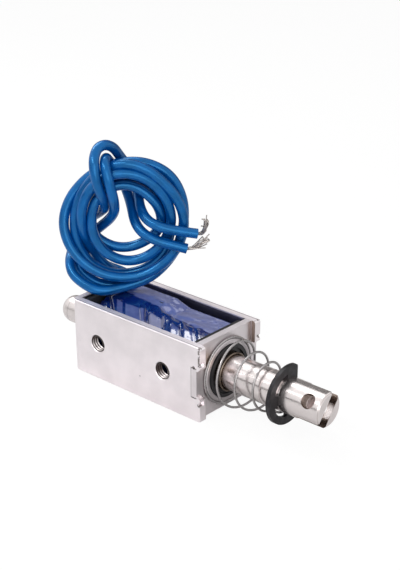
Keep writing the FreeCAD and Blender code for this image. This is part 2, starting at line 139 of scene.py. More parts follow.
# Cards: left and right foot, lower and upper edge, in metres, and colour
DARK_CARD, GREY_CARD = (0.015, 0.012, 0.012, 1), (0.55, 0.53, 0.52, 1)
CARDS = (
    ("back_card", (-0.9, 0.42), (0.1, 0.42), 0.36, 0.52, DARK_CARD),
    ("grey_card", (-1.1, 0.45), (0.2, 0.45), -0.006, 0.36, GREY_CARD),
    ("front_card", (-0.95, -0.35), (-0.2, -0.95), 0.075, 0.185, DARK_CARD),
)
# Lamps: place and aim in millimetres as at() takes them, sides in metres, and share of the key light's power
LAMPS = (
    ("key", (0, -150, 185), (10, 0, 10), (0.18, 0.035), 0.9),
    ("strip", (-215, 18, 250), (20, 0, 0), (0.14, 0.07), 1.5),
    ("front", (150, -110, 70), (20, 0, 0), (0.12, 0.12), 0.45),
    ("glint", (-80, 50, 240), (20, 0, 0), (0.09, 0.06), 0.5),
)
FLOOR_REACH = 1.2
FLOOR_GLOW, FLOOR_GLOW_SHARE = 1.06, 0.86
# Camera: turn, height and roll in radians, distance, aim and sensor in millimetres, the rest in the photograph's pixels
CAMERA_TURN, CAMERA_HEIGHT, CAMERA_ROLL = 0.76157, 0.45870, -0.01613
CAMERA_DISTANCE, CAMERA_AIM = 222.62, (15, 0, 0.25)
PHOTO_WIDE, PHOTO_TALL = 400, 570
FOCUS, CENTRE_RIGHT, CENTRE_DOWN = 1300, 164.0, 342.73
SENSOR = 36


def hank_point(right, up, near):
    """Point of a lead's route. Depth rises with the line of sight, as in the solids."""
    across = Vector((math.cos(HANK_TURN), math.sin(HANK_TURN), 0))
    towards = Vector((math.sin(HANK_TURN), -math.cos(HANK_TURN), math.tan(HANK_LEAN)))
    foot = Vector((BACK + HANK_X * MM, AXIS_Y, FRAME_TOP))
    return foot + (across * right + towards * near + Vector((0, 0, up))) * MM


# ---------------------------------------------------------------------------------------------- materials
class Wire:
    """One value or colour in a material; Python's operators on it add the nodes that work it out."""

    def __init__(self, finish, socket):
        self.finish = finish
        self.socket = socket

    def maths(self, operation, *terms):
        return self.finish.node("ShaderNodeMath", {"operation": operation}, dict(enumerate(terms)))

    def __add__(self, other):
        return self.maths("ADD", self, other)

    def __sub__(self, other):
        return self.maths("SUBTRACT", self, other)

    def __rsub__(self, other):
        return self.maths("SUBTRACT", other, self)

    def __mul__(self, other):
        return self.maths("MULTIPLY", self, other)

    def __pow__(self, other):
        return self.maths("POWER", self, other)

    def __rpow__(self, other):
        return self.maths("POWER", other, self)

    __radd__ = __add__
    __rmul__ = __mul__

    def step(self, low, high):
        """Soft step from 0 at low to 1 at high."""
        return self.finish.node("ShaderNodeMapRange", {"interpolation_type": "SMOOTHSTEP"},
                                {"Value": self, "From Min": low, "From Max": high})

    def past(self, edge, soft):
        """0 up to an edge, then a soft rise to 1."""
        return (self - edge).step(0.0, soft)

    def short_of(self, edge, soft):
        """1, then a soft fall to 0 that ends at an edge."""
        return (edge - self).step(0.0, soft)

    def near(self, place, reach, soft):
        """1 round a place, with a soft fall to 0 that ends at a reach on both sides."""
        return (self - place).size().short_of(reach, soft)

    def size(self):
        return self.maths("ABSOLUTE", self)

    def beside(self, output):
        """Another output of the same node."""
        return Wire(self.finish, self.socket.node.outputs[output])

    def axes(self):
        """Its x, y and z."""
        split = self.finish.node("ShaderNodeSeparateXYZ", None, {0: self})
        return split, split.beside(1), split.beside(2)

    def stretched(self, x, y, z):
        return self.finish.node("ShaderNodeVectorMath", {"operation": "MULTIPLY"}, {0: self, 1: (x, y, z)})


class Finish:
    """One material and the tools that lay its nodes."""

    def __init__(self, name, **constants):
        self.material = bpy.data.materials.new(name)
        self.open(self.material, "Principled BSDF")
        self.feed(**constants)

    def open(self, owner, shader):
        owner.use_nodes = True
        self.tree = owner.node_tree
        self.shader = self.tree.nodes[shader]

    def node(self, kind, settings=None, inputs=None, output=0):
        made = self.tree.nodes.new(kind)
        for key, value in (settings or {}).items():
            setattr(made, key, value)
        for key, value in (inputs or {}).items():
            self.join(value, made.inputs[key])
        return Wire(self, made.outputs[output])

    def join(self, value, socket):
        if isinstance(value, Wire):
            self.tree.links.new(value.socket, socket)
        else:
            socket.default_value = value

    def feed(self, **values):
        for key, value in values.items():
            self.join(value, self.shader.inputs[key.replace("_", " ").title().replace("Ior", "IOR")])
        return self

    def place(self):
        """Position on the piece, in millimetres."""
        return self.node("ShaderNodeTexCoord", output="Object").stretched(1 / MM, 1 / MM, 1 / MM)

    def grain(self, where, scale, detail=2.0, rough=0.5):
        return self.node("ShaderNodeTexNoise", {"noise_dimensions": "3D"},
                         {"Vector": where, "Scale": scale, "Detail": detail, "Roughness": rough})

    def cells(self, where, scale):
        return self.node("ShaderNodeTexVoronoi", {"feature": "F1"}, {"Vector": where, "Scale": scale})

    def blend(self, low, high, factor):
        return self.node("ShaderNodeMix", {"data_type": "RGBA"}, {0: factor, 6: low, 7: high}, 2)

    def bump(self, height, depth, under=None):
        """Relief of a depth in millimetres under a height from 0 to 1."""
        links = {"Height": height, "Distance": depth * MM, "Strength": 1.0}
        if under:
            links["Normal"] = under
        return self.node("ShaderNodeBump", None, links)


class Backdrop(Finish):
    """The world's nodes, laid with the same tools."""

    def __init__(self, name):
        bpy.context.scene.world = bpy.data.worlds.new(name)
        self.open(bpy.context.scene.world, "Background")


def tint(colour, share):
    return tuple(min(1.0, part * share) for part in colour[:3]) + (1.0,)


def span(a, b):
    """Distance that two wires at right angles make."""
    return (a ** 2 + b ** 2) ** 0.5


def marked(f, colour, marks):
    """Colour with marks laid over it, each a colour and its mask."""
    for shade, mask in marks:
        colour = f.blend(colour, shade, mask)
    return colour


def plated_steel(name, look, share):
    """Satin nickel on pressed sheet: rolling marks, soft stains, a rare pit and darker seams, with painted shade inside
    the frame, in the lug recesses, at the stakes and round the collar, and a painted dark line along the walls' tops.
    """
    f = Finish(name, metallic=1.0)
    spot = f.place()
    x, y, z = spot.axes()
    across = (y - AXIS_ACROSS).size()
    nickel = look.plate_colour
    stain = f.grain(spot, 0.22, 3.0)
    peel = f.grain(spot, 2.6, 3.0)
    rolling = f.grain(spot.stretched(0.25, 6.0, 6.0), 1.0, 2.0)
    pit = f.cells(spot, 0.2).step(0.05, 0.035)
    # Painted shade: dark navy on the frame's inner faces between the walls and behind the plate
    painted_inside_shade = across.short_of(WALL_INSIDE, 0.1) * x.short_of(PLATE_BACK, 0.1) * x.past(REAR_INSIDE, 0.1)
    # Painted shade: brown on the lugs' inner faces beyond the plate
    painted_lug_shade = across.short_of(WALL_INSIDE, 0.1) * across.past(5.9, 0.1) * x.past(15.2, 0.1)
    # Painted shade: a dark line along the walls' top faces, for the shading of their rounded edges
    painted_top_line = across.near(7.12, 0.09, 0.05) * z.past(WALL_TOP, 0.04)
    seam = x.near(EAR_SEAM, 0.1, 0.06) * z.near(0.2, 2.75, 0.1) * across.past(7.3, 0.1)
    # Painted shadow in the staking dents: a spot over the ear, another under it and a ragged line up the lug
    painted_stake_shadow = span(x - 14.55, z - 3.0).short_of(0.35, 0.12)
    painted_stake_shadow = painted_stake_shadow + span(x - LUG_TIP, z + 3.6).short_of(0.42, 0.25) * peel.past(0.35, 0.1)
    painted_stake_shadow = painted_stake_shadow + x.near(15.66, 0.24, 0.08) * z.past(3.1, 0.2) * peel.past(0.40, 0.1)
    # Painted shadow: a brown gradient on the plate's face beside the collar's upper near side
    painted_collar_shadow = span(y - 2.4, z - 3.7).short_of(2.7, 2.4) * x.past(PLATE_FACE, 0.04) * y.past(1.4, 0.1)
    colour = f.blend(tint(nickel, 0.93 * share), tint(nickel, 1.03 * share), stain.step(0.3, 0.7))
    colour = marked(f, colour, (
        (tint(nickel, 0.35), pit * 0.7),
        ((0.018, 0.018, 0.04, 1), painted_inside_shade * z.short_of(WALL_TOP, 0.3) * 0.88),
        ((0.30, 0.21, 0.15, 1), painted_lug_shade * 0.8),
        (tint(nickel, 0.25), painted_top_line * 0.8),
        (tint(nickel, 0.45), seam * 0.8),
        ((0.10, 0.075, 0.07, 1), painted_stake_shadow * across.past(6.9, 0.1) * 0.85),
        ((0.31, 0.235, 0.185, 1), painted_collar_shadow * 0.85),
    ))
    rough = look.plate_roughness + (peel - 0.5) * 0.10 + (rolling - 0.5) * 0.05 + z.past(WALL_TOP, 0.04) * 0.25
    relief = f.bump(peel, 0.010, f.bump(rolling, 0.004))
    return f.feed(base_color=colour, roughness=rough, normal=relief).material


def turned_steel(name, look, dulled=0.0):
    """Bright turned and plated bar: fine rings and a soft mottle, with brown painted shade in its cross hole and slot,
    and a brown painted reflection of the bobbin's dark snout where it runs in the tube.
    """
    f = Finish(name, metallic=1.0)
    spot = f.place()
    x, y, z = spot.axes()
    y = y - AXIS_ACROSS
    steel = look.bar_colour
    rings = f.grain(spot.stretched(9.0, 0.02, 0.02), 1.0, 3.0, 0.7)
    mottle = f.grain(spot, 0.9, 2.0)
    line = x.near(-20.72, 0.13, 0.06)
    through = y * CROSS_HOLE_Y + z * CROSS_HOLE_Z
    along_slot = (y * CROSS_HOLE_Z + z * -CROSS_HOLE_Y).size()
    bore = through.past(1.08, 0.08) * span(y, z).short_of(2.88, 0.1)
    slot = through.size().short_of(1.12, 0.04) * along_slot.past(1.25, 0.15)
    # Painted shade: brown in the cross hole and its slot
    painted_hole_shade = (bore + slot) * x.past(30.97, 0.1) * x.short_of(35.9, 0.1)
    # Painted reflection: the bobbin's dark snout reflected on the bar near the collar
    painted_snout_reflection = x.past(13.5, 0.5) * x.short_of(17.9, 1.3) * (0.7 + (rings - 0.5) * 1.2)
    colour = marked(f, f.blend(tint(steel, 0.92), tint(steel, 1.04), mottle), (
        (tint(steel, 0.35), line * 0.35),
        ((0.27, 0.20, 0.16, 1), painted_hole_shade * 0.85),
        ((0.26, 0.20, 0.165, 1), painted_snout_reflection * 0.8),
    ))
    rough = look.bar_roughness + dulled + (rings - 0.5) * 0.12 + (mottle - 0.5) * 0.06
    return f.feed(base_color=colour, roughness=rough, normal=f.bump(rings, 0.0025)).material


def small_metal(name, colour, roughness, grain_size, depth):
    """Plain metal for small pieces: colour and gloss vary a little over it."""
    f = Finish(name, metallic=1.0)
    grain = f.grain(f.place(), grain_size, 3.0)
    shade = f.blend(tint(colour, 0.85), tint(colour, 1.08), grain)
    return f.feed(base_color=shade, roughness=roughness + (grain - 0.5) * 0.15,
                  normal=f.bump(grain, depth)).material


def thread_steel():
    """Cut thread with painted shade: dark in its roots and under the hole's upper side, with painted light on the lower
    crests.
    """
    f = Finish("thread_steel", metallic=1.0)
    spot = f.place()
    x, _, z = spot.axes()
    x = x.size() - HOLE_ALONG
    # Painted shade in the roots and on the upper side, painted light on the lower crests
    crest = span(x, z).short_of(1.45, 0.2)
    low = (x * 0.5 - z).step(-0.2, 1.4)
    grain = f.grain(spot, 3.0, 3.0)
    colour = f.blend((0.035, 0.022, 0.02, 1), (0.80, 0.74, 0.74, 1), crest * (low * 0.9 + 0.07))
    return f.feed(base_color=colour, roughness=0.3 + (grain - 0.5) * 0.15, normal=f.bump(grain, 0.004)).material


def black_oxide(look):
    """Blackened spring steel: dark, slightly oily, with lighter worn spots."""
    f = Finish("black_oxide", metallic=0.5)
    spot = f.place()
    rub = f.grain(spot, 1.3, 4.0).step(0.45, 0.8)
    peel = f.grain(spot, 7.0, 2.0)
    colour = f.blend(tint(look.clip_colour, 0.8), tint(look.clip_colour, 1.9), rub)
    rough = 0.36 + (peel - 0.5) * 0.14 + rub * 0.08
    return f.feed(base_color=colour, roughness=rough, normal=f.bump(peel, 0.006)).material


def moulded_nylon(name, colour, roughness=0.42):
    """Moulded plastic with a fine eroded grain."""
    f = Finish(name)
    spot = f.place()
    grain = f.grain(spot, 8.0, 2.0)
    flow = f.grain(spot, 0.5, 2.0)
    shade = f.blend(tint(colour, 0.8), tint(colour, 1.3), flow)
    return f.feed(base_color=shade, roughness=roughness + (grain - 0.5) * 0.12,
                  normal=f.bump(grain, 0.012)).material


def enamel_wire():
    """Round wires laid side by side under clear enamel."""
    f = Finish("enamelled_wire", metallic=0.9)
    spot = f.place()
    turns = f.node("ShaderNodeTexWave", {"wave_type": "BANDS", "bands_direction": "X", "wave_profile": "SIN"},
                   {"Vector": spot, "Scale": 1.3, "Distortion": 0.4, "Detail": 1.0})
    colour = f.blend((0.30, 0.07, 0.015, 1), (0.62, 0.22, 0.06, 1), turns)
    return f.feed(base_color=colour, roughness=0.3 + turns * 0.1, normal=f.bump(turns, 0.08)).material


# Panels of the near slope painted paler, a painted reflection: place along the folds, half width, soft edge and share
FILM_SHEEN_PANELS = ((9.85, 2.3, 0.2, 0.5), (14.8, 1.4, 0.3, 0.4), (19.2, 1.0, 0.3, 0.35), (22.5, 1.3, 0.3, 0.3),
               (6.3, 0.8, 0.3, 0.5))
# How far a fold runs aside for each millimetre across, and its shift from the part's x to a place along the folds
FOLD_SKEW, FOLD_SHIFT = 0.95, 8.6


def wrap_film(look):
    """Thin blue film with a strong sheen: deep blue, painted paler on its flat top and on panels of its near slope as a
    painted reflection, and darker low in the frame as painted shade.
    """
    f = Finish("blue_film", coat_weight=1.0, coat_roughness=0.06, coat_ior=2.0, ior=1.6)
    spot = f.place()
    x, y, z = spot.axes()
    cling = f.grain(spot.stretched(0.5, 0.9, 0.9), 1.0, 3.0)
    edge = 7.95 - x * 0.06 + (cling - 0.5) * 1.2
    crown = (y - edge).step(-0.2, 0.25)
    fold = x + y * FOLD_SKEW + FOLD_SHIFT
    slope = (6.0 - y + (cling - 0.5) * 0.6).step(-0.15, 0.15)
    facets = sum(fold.near(place, reach, soft) * share for place, reach, soft, share in FILM_SHEEN_PANELS)
    # Painted reflection: the flat top and the near slope's panels are painted paler
    air = (crown + facets * slope * 1.3) * (0.75 + (cling - 0.5) * 0.7)
    colour = f.blend(tint(look.film_colour, 1.0), (*look.painted_sheen_colour, 1), air)
    # Painted shade: the film is darker low in the frame
    colour = f.blend(colour, tint(look.film_colour, 0.12), z.short_of(3.6, 1.0))
    crease = f.grain(spot.stretched(0.6, 1.4, 1.4), 1.0, 4.0, 0.55)
    rough = 0.18 + cling * 0.08
    return f.feed(base_color=colour, roughness=rough, normal=f.bump(crease, 0.012)).material


def lead_insulation(look):
    """Smooth extruded insulation with faint drawing lines and a slightly uneven gloss."""
    f = Finish("blue_insulation", ior=1.72, specular_ior_level=1.0, specular_tint=(0.13, 0.54, 1.0, 1))
    spot = f.place()
    haze = f.grain(spot, 0.45, 3.0)
    skin = f.grain(spot, 5.0, 2.0)
    colour = f.blend(tint(look.insulation_colour, 0.82), tint(look.insulation_colour, 1.15), haze.step(0.3, 0.7))
    rough = 0.22 + (haze - 0.5) * 0.10 + (skin - 0.5) * 0.08
    return f.feed(base_color=colour, roughness=rough, normal=f.bump(skin, 0.006)).material


# ---------------------------------------------------------------------------------------------- mesh helpers
def placed(name, data):
    """New object in the scene."""
    thing = bpy.data.objects.new(name, data)
    bpy.context.scene.collection.objects.link(thing)
    return thing


def new_piece(name, data, material, body, slot, *replaced):
    piece = placed(name, data)
    data.materials.append(material)
    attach(piece, body)
    if replaced:
        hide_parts(*replaced)
    return piece


def mesh_from(name, points, faces, smooth=True):
    data = bpy.data.meshes.new(name)
    data.from_pydata([tuple(p) for p in points], [], faces)
    data.validate()
    data.update()
    if smooth:
        data.shade_smooth()
    return data


def tube_mesh(name, line, radius, sides=12):
    """Closed round wire along a line of points."""
    points, faces = [], []
    ahead = (line[1] - line[0]).normalized()
    side = ahead.orthogonal().normalized()
    for index, centre in enumerate(line):
        before, after = line[max(index - 1, 0)], line[min(index + 1, len(line) - 1)]
        turned = (after - before).normalized()
        side = (side - turned * side.dot(turned)).normalized()
        up = turned.cross(side)
        for k in range(sides):
            angle = 2 * math.pi * k / sides
            points.append(centre + (side * math.cos(angle) + up * math.sin(angle)) * radius)
    for index in range(len(line) - 1):
        a, b = index * sides, (index + 1) * sides
        for k in range(sides):
            n = (k + 1) % sides
            faces.append((a + k, a + n, b + n, b + k))
    faces.append(tuple(range(sides))[::-1])
    last = (len(line) - 1) * sides
    faces.append(tuple(last + k for k in range(sides)))
    return mesh_from(name, points, faces)


def finish_node(node, material):
    materials = NODES[node].data.materials
    materials.clear()
    materials.append(material)


def spline_curve(name, routes, radius, roundness=5, smoothness=8):
    """Curve of one smooth spline for each route of points."""
    data = bpy.data.curves.new(name, "CURVE")
    data.dimensions = "3D"
    data.resolution_u = smoothness
    data.bevel_depth = radius
    data.bevel_resolution = roundness
    data.use_fill_caps = True
    for route in routes:
        spline = data.splines.new("NURBS")
        spline.points.add(len(route) - 1)
        for point, place in zip(spline.points, route):
            point.co = (*place, 1)
        spline.order_u = 3
        spline.use_endpoint_u = True
    return data


# ---------------------------------------------------------------------------------------------- properties
class FinishSettings(bpy.types.PropertyGroup):
    """Colours and gloss of the metal, film and insulation."""
    plate_colour: FloatVectorProperty(name="Plate colour", description="Nickel on the frame and plate",
                                      subtype="COLOR", size=3, min=0, max=1, default=(0.91, 0.85, 0.87))
    plate_roughness: FloatProperty(name="Plate roughness", description="How satin the frame's plating is",
                                   subtype="FACTOR", min=0, max=1, default=0.34)
    bar_colour: FloatVectorProperty(name="Bar colour", description="Turned steel of the plunger and the nub",
                                    subtype="COLOR", size=3, min=0, max=1, default=(0.79, 0.73, 0.72))
    bar_roughness: FloatProperty(name="Bar roughness", description="How satin the turned steel is",
                                 subtype="FACTOR", min=0, max=1, default=0.22)
    clip_colour: FloatVectorProperty(name="Clip colour", description="Blackened steel of the clip",
                                     subtype="COLOR", size=3, min=0, max=1, default=(0.026, 0.024, 0.027))
    film_colour: FloatVectorProperty(name="Film colour", description="Blue film round the winding",
                                     subtype="COLOR", size=3, min=0, max=1, default=(0.004, 0.022, 0.20))
    # Painted reflection: paler film colour laid on the film's flat top and near-slope panels
    painted_sheen_colour: FloatVectorProperty(name="Film over air", description="The same film where air lies under it",
                                    subtype="COLOR", size=3, min=0, max=1, default=(0.28, 0.33, 0.74))
    insulation_colour: FloatVectorProperty(name="Insulation colour", description="Blue insulation of the leads",
                                           subtype="COLOR", size=3, min=0, max=1, default=(0.0, 0.085, 0.33))


class LeadSettings(bpy.types.PropertyGroup):
    """Sizes of the leads and of their bare ends."""
    radius: FloatProperty(name="Lead radius", description="Outer radius of the insulation",
                          subtype="DISTANCE", unit="LENGTH", default=LEAD_RADIUS * MM)
    points_per_turn: IntProperty(name="Points per turn", description="Route points on each turn of the hank",
                                 min=12, max=32, default=16)
    strand_radius: FloatProperty(name="Strand radius", description="Radius of one bare strand",
                                 subtype="DISTANCE", unit="LENGTH", default=0.10 * MM)
    strands: IntProperty(name="Strands", description="Bare strands shown at each end", min=3, max=19, default=11)
    fan: FloatProperty(name="Fan", description="How far the strands part at their tips, in millimetres", default=1.1)


class FilmSettings(bpy.types.PropertyGroup):
    """Shape of the film round the winding."""
    fold_depth: FloatProperty(name="Fold depth", description="Height scale of the folds on the near slope",
                              subtype="DISTANCE", unit="LENGTH", default=1.0 * MM)
    ripple: FloatProperty(name="Ripple", description="Height of the fine ripples",
                          subtype="DISTANCE", unit="LENGTH", default=0.025 * MM)


class SpringSettings(bpy.types.PropertyGroup):
    """Wire and turns of the conical spring."""
    wire: FloatProperty(name="Wire", description="Diameter of the spring's wire",
                        subtype="DISTANCE", unit="LENGTH", default=0.4 * MM)
    dead_turns: FloatProperty(name="Dead turns", description="Turns that lie on the plate", default=0.75)
    rise_turns: FloatProperty(name="Rising turns", description="Turns from the plate to the clip", default=4.3)
    closed_turns: FloatProperty(name="Closed turns", description="Turns that lie behind the clip", default=0.6)
    lean: FloatProperty(name="Lean", description="How far the far side of a turn runs ahead",
                        subtype="DISTANCE", unit="LENGTH", default=0.3 * MM)
    sag: FloatProperty(name="Sag", description="How far the middle turns hang down",
                       subtype="DISTANCE", unit="LENGTH", default=0.35 * MM)


class ThreadSettings(bpy.types.PropertyGroup):
    """Screw thread in the two side holes."""
    pitch: FloatProperty(name="Pitch", description="Advance of the thread in one turn",
                         subtype="DISTANCE", unit="LENGTH", default=0.5 * MM)
    length: FloatProperty(name="Length", description="Length of the thread, through the sheet",
                          subtype="DISTANCE", unit="LENGTH", default=1.4 * MM)
    depth: FloatProperty(name="Depth", description="How far the ridge stands in from the hole's wall",
                         subtype="DISTANCE", unit="LENGTH", default=0.26 * MM)


class StageSettings(bpy.types.PropertyGroup):
    """Floor and lights."""
    floor_colour: FloatVectorProperty(name="Floor colour", description="Plain pale floor",
                                      subtype="COLOR", size=3, min=0, max=1, default=(0.93, 0.93, 0.93))
    key_power: FloatProperty(name="Key light", description="Power of the large soft light",
                             subtype="POWER", unit="POWER", default=0.14)
    fill_level: FloatProperty(name="Fill level", description="Strength of the light from all round",
                              min=0, max=2, default=0.42)


# ---------------------------------------------------------------------------------------------- operators
class SOLENOID_OT_metalwork(bpy.types.Operator):
    """Gives the frame, plate, plunger, nub and the inner metal parts their finishes"""
    bl_idname = "solenoid.metalwork"
    bl_label = "Finish the metalwork"

    def execute(self, context):
        look = context.scene.solenoid_finish
        finish_node("frame_yoke", plated_steel("satin_nickel", look, 1.0))
        # Painted shade: the plate and the collar take darker copies of the frame's nickel
        finish_node("front_plate", plated_steel("front_nickel_painted_shade", look, 0.84))
        finish_node("collar_ring", plated_steel("ring_nickel_painted_shade", look, 0.72))
        bar = turned_steel("turned_steel", look)
        finish_node("plunger", bar)
        finish_node("push_rod", bar)
        finish_node("push_cap", turned_steel("nub_steel", look, 0.08))
        finish_node("pole_core", small_metal("core_steel", (0.62, 0.60, 0.59), 0.35, 1.5, 0.004))
        finish_node("guide_tube", small_metal("drawn_tube", (0.22, 0.175, 0.14), 0.28, 2.0, 0.003))
        finish_node("stop_shim", small_metal("shim_brass", (0.70, 0.50, 0.22), 0.3, 2.0, 0.003))
        solder = small_metal("solder", (0.60, 0.60, 0.60), 0.3, 2.5, 0.02)
        finish_node("solder_joint_a", solder)
        finish_node("solder_joint_b", solder)
        finish_node("e_clip", black_oxide(look))
        return {"FINISHED"}


class SOLENOID_OT_insulators(bpy.types.Operator):
    """Gives the bobbin, sleeves, pad and winding their finishes"""
    bl_idname = "solenoid.insulators"
    bl_label = "Finish the insulators"

    def execute(self, context):
        finish_node("bobbin", moulded_nylon("black_nylon", (0.014, 0.014, 0.016)))
        sleeve = moulded_nylon("shrunk_sleeve", (0.012, 0.012, 0.013), 0.5)
        finish_node("splice_sleeve_a", sleeve)
        finish_node("splice_sleeve_b", sleeve)
        finish_node("joint_pad", moulded_nylon("paper_pad", (0.70, 0.60, 0.38), 0.7))
        wire = enamel_wire()
        for node in ("coil_winding", "coil_tail_start", "coil_tail_finish"):
            finish_node(node, wire)
        return {"FINISHED"}


class SOLENOID_OT_threads(bpy.types.Operator):
    """Cuts a screw thread into the two side holes"""
    bl_idname = "solenoid.threads"
    bl_label = "Thread the side holes"

    def execute(self, context):
        cut = context.scene.solenoid_thread
        pattern = next(m for m in frame["record"]["mounts"] if m["name"] == "side_holes")
        half = pattern["dims"]["spacing_x_mm"] * MM / 2
        radius = pattern["dims"]["hole_r_mm"] * MM
        steel = thread_steel()
        total = int(cut.length / cut.pitch * THREAD_STEPS)
        for label, x in (("rear", -half), ("front", half)):
            points, faces = [], []
            for i in range(total + 1):
                angle = 2 * math.pi * i / THREAD_STEPS
                crest = min(cut.length, i / THREAD_STEPS * cut.pitch)
                roots = max(0.0, crest - cut.pitch / 2), min(cut.length, crest + cut.pitch / 2)
                direction = Vector((math.cos(angle), 0, math.sin(angle)))
                for reach, inward in ((radius, roots[0]), (radius - cut.depth, crest), (radius, roots[1])):
                    points.append(Vector((x, YOKE_LOW.y + inward, 0)) + direction * reach)
            for a in range(0, total * 3, 3):
                b = a + 3
                faces.append((a, b, b + 1, a + 1))
                faces.append((a + 1, b + 1, b + 2, a + 2))
            new_piece("thread_" + label, mesh_from("thread_" + label, points, faces, False), steel, "frame",
                      "plated_steel")
        return {"FINISHED"}


# Folds of the film's near slope: place along the frame and height, both in millimetres
FILM_FOLDS = [
    (2.0, 0.0), (4.6, 0.1), (5.0, -0.2), (5.6, 0.45), (7.1, 0.15), (7.4, -0.05), (7.8, 0.1), (11.2, 0.15), (11.7, 0.5),
    (12.6, 0.32), (12.9, -0.4), (13.4, 0.4), (15.0, 0.08), (16.1, 0.12), (16.6, -0.3), (17.2, 0.12),
    (17.7, 0.1), (18.2, 0.42), (19.7, 0.15), (20.2, 0.1), (20.5, -0.25), (21.1, 0.45), (22.6, 0.14), (23.6, 0.12),
    (24.0, -0.15), (24.5, 0.4), (25.8, 0.14), (26.9, 0.0),
]
# Places whose folds are averaged, distance from the axis at which a fold keeps its place, and the fold's sway
FOLD_BLUR, FOLD_PIVOT, FOLD_SWAY = (-0.22, 0.0, 0.22), 1.8, 0.12
FILM_COLUMNS, FILM_ROWS = 160, 220
FILM_CORNER, FILM_THICKNESS, FILM_TOP_GAP, FILM_CEILING_GAP = 1.2, 0.05, 0.1, 0.02
# The film sinks towards the front plate, has a dimple in its top, hangs back at its rear end and sags a little
SINK, SINK_START, SINK_RUN, SINK_LIFT = 0.9, 13.7, 3.0, 0.2
DIMPLE, DIMPLE_PLACE, DIMPLE_REACH = 0.35, (15.0, 0.9), (1.1, 0.7)
HANG_BACK, HANG_RUN = 1.6, 4.0
DRAPE = 0.10
# Creases of its flat top: both ends along and across, height and half width
FILM_CREASES = [
    (12.8, 0.2, 17.4, 4.8, 0.07, 1.1), (15.4, 1.2, 21.0, 2.2, 0.07, 0.8), (17.0, 0.0, 25.5, 3.6, -0.06, 1.0),
    (6.0, 1.8, 12.0, 3.4, 0.05, 1.4), (21.5, 0.6, 26.4, 0.8, 0.08, 0.8), (22.0, 4.8, 26.6, 2.2, 0.08, 0.7),
    (9.5, 4.6, 15.0, 3.2, -0.06, 1.0),
]


def along(stops, x):
    """Height at x on straight runs between (x, height) stops."""
    for (x0, v0), (x1, v1) in zip(stops, stops[1:]):
        if x <= x1:
            return v0 + (v1 - v0) * max(0.0, (x - x0) / (x1 - x0))
    return stops[-1][1]


def crease_height(x, y):
    total = 0
    for x0, y0, x1, y1, height, width in FILM_CREASES:
        dx, dy = x1 - x0, y1 - y0
        share = min(max(((x - x0) * dx + (y - y0) * dy) / (dx * dx + dy * dy), 0), 1)
        away = math.hypot(x - x0 - share * dx, y - y0 - share * dy)
        total += height * max(0, 1 - away / width) * math.sin(math.pi * (0.15 + 0.7 * share))
    return total


